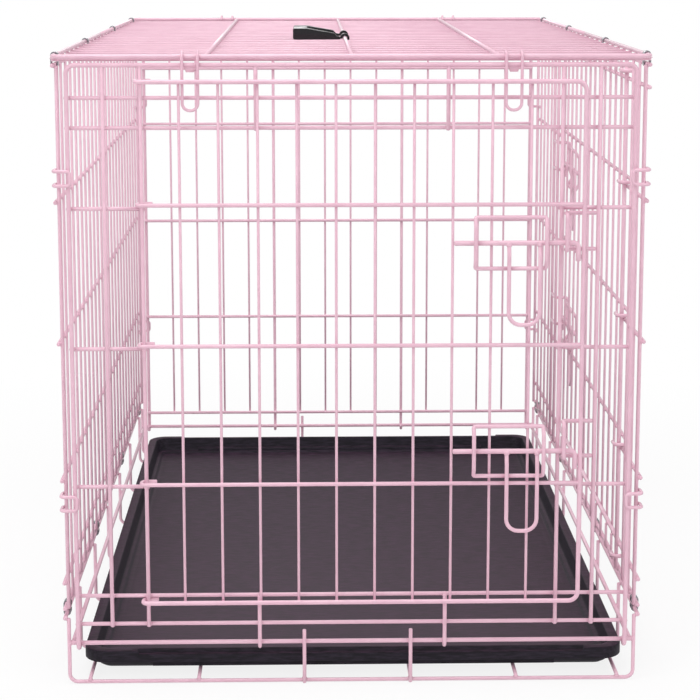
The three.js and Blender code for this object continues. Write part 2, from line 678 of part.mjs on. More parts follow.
// A closed solid between one outline at z `low` and another at z `high`.
function loft(lowOutline, low, highOutline, high) {
  const positions = [];
  const count = lowOutline.length;
  const caps = THREE.ShapeUtils.triangulateShape(lowOutline, []);
  const atLow = (i) => [lowOutline[i % count].x, lowOutline[i % count].y, low];
  const atHigh = (i) => [highOutline[i % count].x, highOutline[i % count].y, high];
  for (const [a, b, c] of caps) {
    positions.push(...atLow(c), ...atLow(b), ...atLow(a));
    positions.push(...atHigh(a), ...atHigh(b), ...atHigh(c));
  }
  for (let i = 0; i < count; i++) {
    positions.push(...atLow(i), ...atLow(i + 1), ...atHigh(i + 1));
    positions.push(...atLow(i), ...atHigh(i + 1), ...atHigh(i));
  }
  return new THREE.BufferGeometry().setAttribute("position", new THREE.Float32BufferAttribute(positions, 3));
}

{
  const floorZ = 2 * BASE_WIRE - WELD + GAP;
  const skirtZ = TRAY_TOP_Z - TRAY_SKIRT;
  const plateZ = TRAY_TOP_Z - TRAY_WALL;
  const foot = TRAY_LIP + TRAY_TAPER;
  const over = 5; // cutters run past the faces they open
  const pan = (inset, low, high) => toSolid(loft(trayOutline(inset), low, trayOutline(inset), high));
  const rim = pan(0, skirtZ, TRAY_TOP_Z).subtract(pan(TRAY_WALL, skirtZ - over, plateZ));
  const bowl = toSolid(loft(trayOutline(foot), floorZ, trayOutline(TRAY_LIP), TRAY_TOP_Z));
  const bottomZ = floorZ + TRAY_WALL;
  const ledgeZ = bottomZ + TRAY_LEDGE.height;
  const ledgeEdge = foot + TRAY_WALL + TRAY_LEDGE.width;
  const hollowMouth = trayOutline(TRAY_LIP + TRAY_WALL);
  const hollow = toSolid(loft(trayOutline(foot + TRAY_WALL), ledgeZ, hollowMouth, TRAY_TOP_Z + over));
  const sunk = toSolid(
    loft(trayOutline(ledgeEdge + TRAY_LEDGE.slope), bottomZ, trayOutline(ledgeEdge), ledgeZ),
  );
  let tray = rim.add(bowl).subtract(hollow).subtract(sunk);
  for (const end of [-1, 1]) {
    const step = new THREE.BoxGeometry(TRAY_STEP.width, 2 * TRAY_STEP.depth, 2 * TRAY_STEP.drop);
    step.translate(end === -1 ? TRAY_STEP.shift : 0, (end * TRAY_LENGTH) / 2, TRAY_TOP_Z);
    const shelf = new THREE.BoxGeometry(
      TRAY_STEP.width + 2 * TRAY_WALL,
      TRAY_STEP.depth + TRAY_WALL,
      TRAY_STEP.drop + TRAY_WALL,
    );
    shelf.translate(
      end === -1 ? TRAY_STEP.shift : 0,
      end * (TRAY_LENGTH / 2 - (TRAY_STEP.depth + TRAY_WALL) / 2),
      TRAY_TOP_Z - (TRAY_STEP.drop + TRAY_WALL) / 2,
    );
    tray = tray.add(toSolid(shelf)).subtract(toSolid(step));
  }
  const mesh = place("tray", toGeometry(tray), BLACK_PLASTIC);
  mesh.position.x = TRAY_SHIFT_X;
}

// ---- Carrying handle: a flat bail that lies on the roof, each arm clipped round its middle bar by a hook.
{
  const [first, second] = HANDLE_SPACES.map(barY);
  const bottom = crossBarZ + FILL_WIRE / 2 + GAP - roofBarZ; // heights here are from the bar's axis
  const near = RAIL_WIRE / 2 + RUN; // inside of a hook
  const far = near + HANDLE_HOOK.thick;
  const { grip, root } = HANDLE_THICK;
  // Side view of an arm: thick at the grip, thin and cut back at a slant where its hook starts.
  const profile = new THREE.Shape();
  profile.moveTo(-far, bottom);
  profile.lineTo(-far - root, bottom + root);
  profile.lineTo(-HANDLE_REACH + HANDLE_GRIP, bottom + grip);
  const edgeX = -HANDLE_REACH + HANDLE_EDGE;
  profile.lineTo(edgeX, bottom + grip);
  profile.absarc(edgeX, bottom + grip - HANDLE_EDGE, HANDLE_EDGE, Math.PI / 2, Math.PI, false);
  profile.absarc(edgeX, bottom + HANDLE_EDGE, HANDLE_EDGE, Math.PI, 1.5 * Math.PI, false);
  profile.closePath();
  const span = { depth: second - first + HANDLE_ARM, bevelEnabled: false, curveSegments: 2 };
  const body = new THREE.ExtrudeGeometry(profile, span);
  body.rotateX(Math.PI / 2);
  body.translate(0, second + HANDLE_ARM / 2, 0);
  // The finger gap between the arms, open towards the bar.
  const low = first + HANDLE_ARM / 2;
  const high = second - HANDLE_ARM / 2;
  const left = -HANDLE_REACH + HANDLE_GRIP;
  const corner = HANDLE_GRIP / 2;
  const gap = new THREE.Shape();
  gap.moveTo(0, low);
  gap.lineTo(0, high);
  gap.absarc(left + corner, high - corner, corner, Math.PI / 2, Math.PI, false);
  gap.absarc(left + corner, low + corner, corner, Math.PI, 1.5 * Math.PI, false);
  const through = { depth: 4 * grip, bevelEnabled: false, curveSegments: 3 };
  const cutter = new THREE.ExtrudeGeometry(gap, through);
  cutter.translate(0, 0, -2 * grip);
  // A hook: a strip over the top of the bar and down its far side.
  const tip = -THREE.MathUtils.degToRad(HANDLE_HOOK.tip);
  const start = Math.PI + Math.asin(-bottom / far); // where the arc leaves the arm's foot
  const strip = new THREE.Shape();
  strip.moveTo(-far - root / 2, bottom);
  strip.lineTo(-far - root / 2, bottom + root / 2);
  strip.absarc(0, 0, far, Math.PI - 0.3, tip, true);
  strip.absarc(0, 0, near, tip, start, false);
  strip.closePath();
  const depth = HANDLE_HOOK.width;
  let handle = toSolid(body).subtract(toSolid(cutter));
  for (const y of [first, second]) {
    const hook = new THREE.ExtrudeGeometry(strip, { depth, bevelEnabled: false, curveSegments: 5 });
    hook.rotateX(Math.PI / 2);
    hook.translate(0, y + depth / 2, 0);
    handle = handle.add(toSolid(hook));
  }
  const mesh = place("carry_handle", toGeometry(handle), BLACK_PLASTIC);
  mesh.position.z = roofBarZ;
}

// The origin is the middle of the footprint, on the floor.
const box = new THREE.Box3().setFromObject(crate);
crate.position.set(-(box.min.x + box.max.x) / 2, -(box.min.y + box.max.y) / 2, -box.min.z);

export default crate;
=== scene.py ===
import json
from math import degrees, pi, radians, sin, tan

import bmesh
import bpy
from mathutils import Matrix, Vector


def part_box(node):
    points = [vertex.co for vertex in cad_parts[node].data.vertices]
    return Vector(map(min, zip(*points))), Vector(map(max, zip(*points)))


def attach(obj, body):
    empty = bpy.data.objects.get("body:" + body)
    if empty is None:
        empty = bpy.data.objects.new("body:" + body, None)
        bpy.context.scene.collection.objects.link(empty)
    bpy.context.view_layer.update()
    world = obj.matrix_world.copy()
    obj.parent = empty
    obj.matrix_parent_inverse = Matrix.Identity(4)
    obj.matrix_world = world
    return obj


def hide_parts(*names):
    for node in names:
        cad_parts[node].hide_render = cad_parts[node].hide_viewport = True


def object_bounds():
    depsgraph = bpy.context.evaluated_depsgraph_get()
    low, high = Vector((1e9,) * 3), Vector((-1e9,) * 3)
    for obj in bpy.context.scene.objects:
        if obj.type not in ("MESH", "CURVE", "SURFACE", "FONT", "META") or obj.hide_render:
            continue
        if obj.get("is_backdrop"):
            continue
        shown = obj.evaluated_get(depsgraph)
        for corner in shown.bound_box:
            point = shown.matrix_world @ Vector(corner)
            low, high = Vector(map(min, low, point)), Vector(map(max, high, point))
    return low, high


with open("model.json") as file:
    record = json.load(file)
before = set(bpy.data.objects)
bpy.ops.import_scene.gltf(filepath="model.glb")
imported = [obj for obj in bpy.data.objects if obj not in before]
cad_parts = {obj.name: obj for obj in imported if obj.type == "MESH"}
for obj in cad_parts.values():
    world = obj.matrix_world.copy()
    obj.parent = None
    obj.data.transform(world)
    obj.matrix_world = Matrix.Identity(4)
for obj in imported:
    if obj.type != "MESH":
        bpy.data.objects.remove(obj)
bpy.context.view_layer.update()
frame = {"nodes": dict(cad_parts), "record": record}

# The room: a white floor that runs into a white backdrop, lit softly from above, both sides and behind.
# Only the camera and reflections see the floor lifted to white; it keeps the crate's soft shadow.
floor = bpy.data.objects.new("floor", bpy.data.meshes.new("floor"))
bpy.context.scene.collection.objects.link(floor)
sheet = bmesh.new()
bmesh.ops.create_grid(sheet, x_segments=1, y_segments=1, size=40, matrix=Matrix.Translation((0, 0, -0.0005)))
sheet.to_mesh(floor.data)
sheet.free()
floor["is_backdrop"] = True


def new_material(name):
    """A named material with its shader, and the two calls that add and join its nodes."""
    material = bpy.data.materials.new(name)
    material.use_nodes = True
    tree = material.node_tree

    def add(kind, **settings):
        node = tree.nodes.new("ShaderNode" + kind)
        for key, value in settings.items():
            if hasattr(node, key):
                setattr(node, key, value)
            else:
                node.inputs[key.replace("_", " ")].default_value = value
        return node

    return material, tree.nodes["Principled BSDF"], add, tree.links.new


floor_paint, floor_shader, add, join = new_material("white floor")
floor_shader.inputs["Base Color"].default_value = (0.86, 0.86, 0.86, 1)
floor_shader.inputs["Roughness"].default_value = 0.9
floor_shader.inputs["Specular IOR Level"].default_value = 0.1
where = add("TexCoord")
spread = add("VectorMath", operation="LENGTH")
join(where.outputs["Object"], spread.inputs[0])
fade = add("MapRange")
for socket, value in (("From Min", 0.5), ("From Max", 1.1), ("To Min", 0.84), ("To Max", 1.0)):
    fade.inputs[socket].default_value = value
join(spread.outputs["Value"], fade.inputs["Value"])
rays = add("LightPath")
seen = add("Math", operation="MAXIMUM")
join(rays.outputs["Is Camera Ray"], seen.inputs[0])
join(rays.outputs["Is Glossy Ray"], seen.inputs[1])
seen_all = add("Math", operation="MAXIMUM")
join(seen.outputs[0], seen_all.inputs[0])
join(rays.outputs["Is Transmission Ray"], seen_all.inputs[1])
lift = add("Math", operation="MULTIPLY")
join(fade.outputs["Result"], lift.inputs[0])
join(seen_all.outputs[0], lift.inputs[1])
glow = add("Emission", Color=(1, 1, 1, 1), Strength=1.0)
blend = add("MixShader")
join(lift.outputs[0], blend.inputs[0])
join(floor_shader.outputs[0], blend.inputs[1])
join(glow.outputs[0], blend.inputs[2])
join(blend.outputs[0], floor_paint.node_tree.nodes["Material Output"].inputs["Surface"])
floor.data.materials.append(floor_paint)

world = bpy.data.worlds.new("white room")
bpy.context.scene.world = world
world.use_nodes = True
air = world.node_tree.nodes["Background"]
air.inputs["Color"].default_value = (1, 1, 1, 1)
sky_rays = world.node_tree.nodes.new("ShaderNodeLightPath")
sky = world.node_tree.nodes.new("ShaderNodeMapRange")
sky.inputs["To Min"].default_value = 0.62
sky.inputs["To Max"].default_value = 1.0
world.node_tree.links.new(sky_rays.outputs["Is Camera Ray"], sky.inputs["Value"])
world.node_tree.links.new(sky.outputs["Result"], air.inputs["Strength"])

for name, place, size, power in (
    ("overhead_softbox", (-0.3, -0.8, 2.9), 1.7, 37),
    ("front_left_softbox", (-2.1, -2.6, 1.9), 1.5, 20),
    ("front_right_softbox", (2.4, -1.9, 1.5), 1.5, 13),
    ("back_softbox", (-0.3, 3.0, 1.75), 1.3, 10),
):
    lamp = bpy.data.lights.new(name, "AREA")
    lamp.size = size
    lamp.energy = power
    holder = bpy.data.objects.new(name, lamp)
    holder.location = place
    aim = Vector((0, 0, 0.3)) - holder.location
    holder.rotation_mode = "QUATERNION"
    holder.rotation_quaternion = aim.to_track_quat("-Z", "Y")
    bpy.context.scene.collection.objects.link(holder)

camera_data = bpy.data.cameras.new("camera")
camera_data.sensor_width = 36
camera_data.lens = 102.86
camera_data.shift_y = -0.12
camera = bpy.data.objects.new("camera", camera_data)
camera.location = (-0.0489, -2.3691, 0.7367)
camera.rotation_euler = (radians(90 - 9.243), radians(0.022), radians(-1.232))
bpy.context.scene.collection.objects.link(camera)
bpy.context.scene.camera = camera
bpy.context.scene.view_settings.view_transform = "Standard"


# The base: a steel wire grid for a floor, its cross wires turned up at the sides to a long top wire.
# Every joint is resistance welded, and the whole piece is dipped in a pink powder coat.
def mm_corners(node):
    """A node's lowest and highest corner, in millimetres from the middle of the crate's footprint."""
    low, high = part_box(node)
    return to_mm(low), to_mm(high)


def to_mm(place):
    return Vector(((place[0] - middle.x) * 1000, (place[1] - middle.y) * 1000, place[2] * 1000))


def joint_place(name):
    """Where a joint sits, in millimetres from the middle of the crate's footprint."""
    joints = frame["record"]["behaviour"]["joints"]
    return to_mm(next(joint["pos_m"] for joint in joints if joint["name"] == name))


base_low, base_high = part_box("base_frame")
middle = (base_low + base_high) / 2
middle.z = 0


def grow_ring(work, ring, change):
    """Extrudes a ring of edges, moves the new ring by the matrix change and returns it."""
    grown = bmesh.ops.extrude_edge_only(work, edges=ring)["geom"]
    ends = [part for part in grown if isinstance(part, bmesh.types.BMVert)]
    bmesh.ops.transform(work, matrix=change, verts=ends)
    held = set(ends)
    return [part for part in grown if isinstance(part, bmesh.types.BMEdge) and held.issuperset(part.verts)]


def about(centre, change):
    """The change made about a centre and not about the origin."""
    return Matrix.Translation(centre) @ change @ Matrix.Translation(-centre)


def run_along(work, ring, corners):
    """Takes a ring along straight runs and round bends; each corner is (x, y, z, bend radius)."""
    points = [Vector(corner[:3]) for corner in corners]
    at = points[0]
    for before, corner, after, numbers in zip(points, points[1:], points[2:], corners[1:]):
        back = (before - corner).normalized()
        on = (after - corner).normalized()
        turn = pi - back.angle(on)
        radius = numbers[3]
        bend_start = corner + back * radius * tan(turn / 2)
        bend_end = corner + on * radius * tan(turn / 2)
        if (bend_start - at).length > 0.01:
            ring = grow_ring(work, ring, Matrix.Translation(bend_start - at))
        centre = corner + (back + on).normalized() * radius / sin((pi - turn) / 2)
        axis = (bend_start - centre).cross(bend_end - centre).normalized()
        steps = max(2, round(degrees(turn) / 15))
        for _ in range(steps):
            ring = grow_ring(work, ring, about(centre, Matrix.Rotation(turn / steps, 4, axis)))
        at = bend_end
    if (points[-1] - at).length > 0.01:
        ring = grow_ring(work, ring, Matrix.Translation(points[-1] - at))
    return ring


def draw_wire(work, corners, thickness, sides=14):
    """Draws one round wire; the coat leaves its sheared ends slightly rounded."""
    corners = [Vector(corner) for corner in corners]
    start, end = Vector(corners[0][:3]), Vector(corners[-1][:3])
    lead = (Vector(corners[1][:3]) - start).normalized()
    tail = (end - Vector(corners[-2][:3])).normalized()
    tip = 0.14 * thickness
    narrow = 0.72
    turn = lead.to_track_quat("Z", "X").to_matrix().to_4x4()
    made = bmesh.ops.create_circle(
        work,
        cap_ends=True,
        segments=sides,
        radius=narrow * thickness / 2,
        matrix=Matrix.Translation(start) @ turn,
    )
    ring = list(dict.fromkeys(edge for corner in made["verts"] for edge in corner.link_edges))
    ring = grow_ring(work, ring, Matrix.Translation(lead * tip) @ about(start, Matrix.Scale(1 / narrow, 4)))
    run = [(*(start + lead * tip), 0), *corners[1:-1], (*(end - tail * tip), 0)]
    ring = run_along(work, ring, run)
    tip_start = end - tail * tip
    ring = grow_ring(work, ring, Matrix.Translation(tail * tip) @ about(tip_start, Matrix.Scale(narrow, 4)))
    bmesh.ops.edgeloop_fill(work, edges=ring)


def add_weld(work, place, spread=2.2, lift=1.0, axis=1):
    """The small fillet where two wires were pressed together; axis 0, 1 or 2 is across both."""
    size = [spread, spread, spread]
    size[axis] = lift
    shape = Matrix.Translation(place) @ Matrix.Diagonal((*size, 1))
    bmesh.ops.create_uvsphere(work, u_segments=8, v_segments=6, radius=1, matrix=shape)


def make_piece(work, name, body, slot_name, material, *nodes):
    """Turns a bmesh in millimetres about the crate's middle into a piece of the crate."""
    to_metres = Matrix.Translation(middle) @ Matrix.Scale(0.001, 4)
    bmesh.ops.transform(work, matrix=to_metres, verts=work.verts)
    bmesh.ops.recalc_face_normals(work, faces=work.faces)
    for face in work.faces:
        face.smooth = True
    piece = bpy.data.objects.new(name, bpy.data.meshes.new(name))
    work.to_mesh(piece.data)
    work.free()
    piece.data.materials.append(material)
    bpy.context.scene.collection.objects.link(piece)
    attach(piece, body)
    if nodes:
        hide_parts(*nodes)


# The pink powder coat of all the wires: smooth and slightly glossy, with a faint orange peel, and a
# little deeper in tone in places.
powder_coat, coat, add, join = new_material("pink powder coat")
coat.inputs["Specular IOR Level"].default_value = 0.5
coat.inputs["Coat Weight"].default_value = 0.5
coat.inputs["Coat Roughness"].default_value = 0.18
where = add("TexCoord")
cloud = add("TexNoise", Scale=38.0, Detail=3.0, Roughness=0.55)
join(where.outputs["Object"], cloud.inputs["Vector"])
tint = add("ValToRGB")
tint.color_ramp.elements[0].position = 0.3
tint.color_ramp.elements[0].color = (0.765, 0.462, 0.572, 1)
tint.color_ramp.elements[1].position = 0.72
tint.color_ramp.elements[1].color = (0.83, 0.535, 0.64, 1)
join(cloud.outputs["Fac"], tint.inputs["Fac"])
join(tint.outputs["Color"], coat.inputs["Base Color"])
gloss = add("MapRange")
gloss.inputs["To Min"].default_value = 0.3
gloss.inputs["To Max"].default_value = 0.44
join(cloud.outputs["Fac"], gloss.inputs["Value"])
join(gloss.outputs["Result"], coat.inputs["Roughness"])
peel = add("TexNoise", Scale=620.0, Detail=2.0)
join(where.outputs["Object"], peel.inputs["Vector"])
skin = add("Bump", Strength=0.22, Distance=0.0004)
join(peel.outputs["Fac"], skin.inputs["Height"])
join(skin.outputs["Normal"], coat.inputs["Normal"])

frame_wire, rail_wire, fill_wire, base_wire, hinge_rail = 4.5, 4.0, 2.8, 3.8, 4.4
sink = 0.3
run_gap, touch_gap = 0.4, 0.3
_, high = mm_corners("base_frame")
hinge_y = high.y - (3 * base_wire / 2 - sink)
hinge_z = joint_place("front_panel_fold").z
side_x = high.x - rail_wire / 2
low_edge_z = high.z - rail_wire / 2
upright_x = side_x - (rail_wire / 2 + base_wire / 2 - sink)
base_rail_x = upright_x - (base_wire / 2 + hinge_rail / 2 - sink)
cross_z = base_wire / 2
bar_z = cross_z + base_wire - sink
first_cross, cross_step, cross_count = 0.11, 0.167, 6
crosses = [first_cross + cross_step * step for step in range(cross_count)]
cross_ys = [-hinge_y, hinge_y] + [2 * hinge_y * share - hinge_y for share in crosses]
floor_bars = (-263, -154, -48, 58.5, 165, 267)
floor_bend = 8
base_weld = (2.9, 1.1)
base = bmesh.new()
for y in cross_ys:
    draw_wire(
        base,
        [
            (-upright_x, y, low_edge_z, 0),
            (-upright_x, y, cross_z, floor_bend),
            (upright_x, y, cross_z, floor_bend),
            (upright_x, y, low_edge_z, 0),
        ],
        base_wire,
    )
    for x in floor_bars:
        add_weld(base, (x, y, cross_z + base_wire / 2), *base_weld, 2)
    for side in (-1, 1):
        add_weld(base, (side * (upright_x + base_wire / 2), y, low_edge_z), *base_weld, 0)
        add_weld(base, (side * (upright_x - base_wire / 2), y, hinge_z), *base_weld, 0)
bar_end = hinge_y + base_wire / 2
for x in floor_bars:
    draw_wire(base, [(x, -bar_end, bar_z, 0), (x, bar_end, bar_z, 0)], base_wire)
for side in (-1, 1):
    edge = side * side_x
    draw_wire(base, [(edge, -bar_end, low_edge_z, 0), (edge, bar_end, low_edge_z, 0)], rail_wire)
    rail = side * base_rail_x
    draw_wire(base, [(rail, -hinge_y, hinge_z, 0), (rail, hinge_y, hinge_z, 0)], hinge_rail)
stop_y = hinge_y + base_wire - sink
stop_foot_z, stop_top_z = 0.05, 56
for end, stops in ((-1, (-48, 58.5)), (1, (-52, 54))):
    y = end * hinge_y
    draw_wire(base, [(-upright_x, y, hinge_z, 0), (upright_x, y, hinge_z, 0)], hinge_rail)
    for x in stops:
        draw_wire(base, [(x, end * stop_y, stop_foot_z, 0), (x, end * stop_y, stop_top_z, 0)], base_wire)
        add_weld(base, (x, end * (hinge_y + base_wire / 2), hinge_z), *base_weld, 1)
make_piece(base, "base_grid", "cage", "painted_wire", powder_coat, "base_frame")

# The side panels: thin upright bars welded inside long rails, with thicker bars at both ends.
# The right one has the side doorway between two jambs, and a third thick bar that carries the keepers.
_, roof_high = mm_corners("roof_panel")
roof_z = roof_high.z - frame_wire / 2
bar_spaces, side_setback = 23, 3
side_low, side_high = mm_corners("left_side_panel")
side_end_y = hinge_y - side_setback
bar_pitch = 2 * side_end_y / bar_spaces
low_wire_z = side_low.z + rail_wire / 2
high_wire_z = side_high.z - rail_wire / 2
thick_bar_x = side_x - (rail_wire - sink)
fill_bar_x = side_x - (rail_wire / 2 + fill_wire / 2 - sink)
hinge_space, latch_space = 3, 17
thick_weld, thin_weld = 3.0, 2.2


def bar_y(space):
    """How far along the crate a bar stands, counted in bar spaces from the front."""
    return -side_end_y + space * bar_pitch


side_levels = (104, 209, 347, 486.5, 597)
for side, name in ((-1, "left_side"), (1, "right_side")):
    doorway = side > 0
    panel = bmesh.new()
    low_z, one_z, two_z, three_z, head_z = side_levels
    rails = [(z, -hinge_y, hinge_y) for z in (low_wire_z, low_z, high_wire_z)]
    for z in (one_z, two_z, three_z):
        if doorway:
            rails += [(z, -hinge_y, bar_y(hinge_space)), (z, bar_y(latch_space), hinge_y)]
        else:
            rails.append((z, -hinge_y, hinge_y))
    if doorway:
        rails.append((head_z, -hinge_y, hinge_y))
    for z, start, end in rails:
        draw_wire(panel, [(side * side_x, start, z, 0), (side * side_x, end, z, 0)], rail_wire)
    weld_x = side * (side_x - rail_wire / 2)
    for space in range(bar_spaces + 1):
        jambs = (hinge_space, latch_space, latch_space + 1) if doorway else ()
        thick = space in (0, bar_spaces, *jambs)
        x = side * (thick_bar_x if thick else fill_bar_x)
        y = bar_y(space)
        spans = [(low_wire_z, high_wire_z)]
        if doorway and hinge_space < space < latch_space:
            spans = [(low_wire_z, low_z), (head_z, high_wire_z)]
        for start, end in spans:
            draw_wire(panel, [(x, y, start, 0), (x, y, end, 0)], rail_wire if thick else fill_wire)
        for z, start, end in rails:
            if start - 1 <= y <= end + 1:
                add_weld(panel, (weld_x, y, z), thick_weld if thick else thin_weld, axis=0)
    make_piece(panel, name, "cage", "painted_wire", powder_coat, f"{name}_panel")

# The roof: an outline wire bent round the four corners, thin cross bars under it and three long bars on top.
_, front_high = mm_corners("front_panel")
panel_y = hinge_y + hinge_rail / 2 + run_gap + frame_wire / 2
cross_bar_z = roof_z - (frame_wire / 2 + fill_wire / 2 - sink)
long_bar_z = cross_bar_z + fill_wire / 2 + rail_wire / 2 - sink
roof_bend, bar_past_roof, long_bar_inset = 10, 1, 4
cross_end = side_x + bar_past_roof
roof = bmesh.new()
for end in (-1, 1):
    y = end * panel_y
    draw_wire(
        roof,
        [
            (-side_x, -end, roof_z, 0),
            (-side_x, y, roof_z, roof_bend),
            (side_x, y, roof_z, roof_bend),
            (side_x, -end, roof_z, 0),
        ],
        frame_wire,
        16,
    )
long_bars = (-141, 0, 142)
for space in range(bar_spaces + 1):
    y = bar_y(space)
    draw_wire(roof, [(-cross_end, y, cross_bar_z, 0), (cross_end, y, cross_bar_z, 0)], fill_wire)
    for x in long_bars:
        add_weld(roof, (x, y, cross_bar_z + fill_wire / 2), 2.2, 0.9, 2)
    for x in (-side_x, side_x):
        add_weld(roof, (x, y, cross_bar_z + fill_wire / 2), 2.4, 0.9, 2)
long_end = panel_y - frame_wire / 2 - long_bar_inset
for x in long_bars:
    draw_wire(roof, [(x, -long_end, long_bar_z, 0), (x, long_end, long_bar_z, 0)], rail_wire)
make_piece(roof, "roof", "cage", "painted_wire", powder_coat, "roof_panel")

# The end panels: a frame wire whose two legs curl round the base's hinge rail, with rails behind it and
# upright bars. Two more bars in the middle curl round the rail. The front panel is open for the door.
panel_x = front_high.x - frame_wire / 2
panel_top_z = front_high.z - frame_wire / 2
rail_y = panel_y - (frame_wire / 2 + rail_wire / 2 - sink)
jamb_y = rail_y + rail_wire - sink
frame_curl = panel_y - hinge_y
jamb_curl = jamb_y - hinge_y
rail_reach = panel_x + rail_wire / 2
panel_bend, bar_past_rail = 8, 2


def curled_foot(x, curl, end):
    """The lower end of an upright wire, curled round the hinge rail of the front (-1) or back (1) end."""
    return [
        (x, end * (hinge_y - curl), hinge_z + 1, 0),
        (x, end * (hinge_y - curl), hinge_z - curl, curl),
        (x, end * (hinge_y + curl), hinge_z - curl, curl),
    ]


def end_frame(work, end):
    """The frame wire of an end panel, from one curled foot over the top to the other."""
    draw_wire(
        work,
        [
            *curled_foot(-panel_x, frame_curl, end),
            (-panel_x, end * panel_y, panel_top_z, panel_bend),
            (panel_x, end * panel_y, panel_top_z, panel_bend),
            *reversed(curled_foot(panel_x, frame_curl, end)),
        ],
        frame_wire,
        16,
    )


def end_rail(work, z, start, stop, end):
    """A rail behind the frame wire of an end panel."""
    draw_wire(work, [(start, end * rail_y, z, 0), (stop, end * rail_y, z, 0)], rail_wire)


jamb_x = -joint_place("front_door_swing").x
outer_bar_x, middle_hook_x = 239.2, 92.5
sill, low_rail, one, two, three, head = 62.5, 91.7, 203.8, 342.6, 480.8, 559
top_rail_drop = 31.6
top_rail = panel_top_z - top_rail_drop
front = bmesh.new()
end_frame(front, -1)
for z in (sill, low_rail, head, top_rail):
    end_rail(front, z, -rail_reach, rail_reach, -1)
for z in (one, two, three):
    end_rail(front, z, -rail_reach, -jamb_x, -1)
    end_rail(front, z, jamb_x, rail_reach, -1)
weld_y = -(rail_y + rail_wire / 2 - sink / 2)
for z in (sill, low_rail, one, two, three, head, top_rail):
    for x in (-panel_x, -outer_bar_x, -jamb_x, jamb_x, outer_bar_x, panel_x):
        add_weld(front, (x, weld_y, z), thick_weld)
for x in (-outer_bar_x, -jamb_x, jamb_x, outer_bar_x):
    draw_wire(front, [(x, -jamb_y, sill - bar_past_rail, 0), (x, -jamb_y, panel_top_z, 0)], rail_wire)
for x in (-middle_hook_x, middle_hook_x):
    draw_wire(front, [(x, -jamb_y, head - bar_past_rail, 0), (x, -jamb_y, panel_top_z, 0)], rail_wire)
    draw_wire(front, [*curled_foot(x, jamb_curl, -1), (x, -jamb_y, low_rail, 0)], rail_wire)
    for z in (sill, low_rail, head, top_rail):
        add_weld(front, (x, weld_y, z), thick_weld)
make_piece(front, "front_end", "front_end", "painted_wire", powder_coat, "front_panel")

back_spaces, hooked_bars = 15, (5, 10)
back = bmesh.new()
end_frame(back, 1)
back_bar_y = rail_y + rail_wire / 2 + fill_wire / 2 - sink
back_pitch = 2 * panel_x / back_spaces
for z in (sill, one, two, three, head):
    end_rail(back, z, -rail_reach, rail_reach, 1)
    for step in range(back_spaces + 1):
        add_weld(back, (-panel_x + step * back_pitch, -weld_y, z), 2.4)
for step in range(1, back_spaces):
    x = -panel_x + step * back_pitch
    if step in hooked_bars:
        draw_wire(back, [*curled_foot(x, jamb_curl, 1), (x, jamb_y, panel_top_z, 0)], rail_wire)
    else:
        draw_wire(back, [(x, back_bar_y, sill, 0), (x, back_bar_y, panel_top_z, 0)], fill_wire)
make_piece(back, "back_end", "back_end", "painted_wire", powder_coat, "back_panel")

# The spring latches: two finger loops of thin spring wire on each end panel, hooked over the roof wire.
# A small folded saddle under the panel's top wire keeps the loop from sliding sideways.
spring_wire, spring_width = 3.0, 15
latch_low, latch_high = mm_corners("front_right_spring_latch")
latch_x = (latch_low.x + latch_high.x) / 2
loop_z = latch_low.z + spring_wire / 2
loop_y = panel_y + frame_wire / 2 + touch_gap + spring_wire / 2
reach_over = loop_y - panel_y
loop_bend = spring_width / 2 - 0.5
saddle_size, saddle_drop, saddle_taper = (11.4, 2.4, 5.4), 1.9, 1.8
for end, body in ((-1, "front_end"), (1, "back_end")):
    for side, side_name in ((-1, "left"), (1, "right")):
        left = side * latch_x - spring_width / 2
        right = left + spring_width

        def over_roof(x):
            """One leg of the loop, from inside the crate over the roof wire to its front."""
            return [
                (x, end * (panel_y - reach_over), roof_z - 1, 0),
                (x, end * (panel_y - reach_over), roof_z + reach_over, reach_over),
                (x, end * loop_y, roof_z + reach_over, reach_over),
            ]

        loop = bmesh.new()
        draw_wire(
            loop,
            [
                *over_roof(left),
                (left, end * loop_y, loop_z, loop_bend),
                (right, end * loop_y, loop_z, loop_bend),
                *reversed(over_roof(right)),
            ],
            spring_wire,
        )
        name = f"{body[:-4]}_{side_name}_spring_latch"
        make_piece(loop, f"{name}_loop", body, "painted_wire", powder_coat, name)
        saddle = bmesh.new()
        saddle_z = panel_top_z - frame_wire / 2 - saddle_drop
        seat = Matrix.Translation((side * latch_x, end * panel_y, saddle_z))
        block = seat @ Matrix.Diagonal((*saddle_size, 1))
        corners = bmesh.ops.create_cube(saddle, size=1, matrix=block)["verts"]
        for corner in corners:
            if corner.co.z < seat.translation.z:
                corner.co.x += saddle_taper if corner.co.x < seat.translation.x else -saddle_taper
        edges = saddle.edges[:]
        bmesh.ops.bevel(
            saddle, geom=edges, offset=0.5, segments=2, profile=0.5, affect="EDGES", material=-1
        )
        make_piece(saddle, f"{name}_saddle", body, "painted_wire", powder_coat)

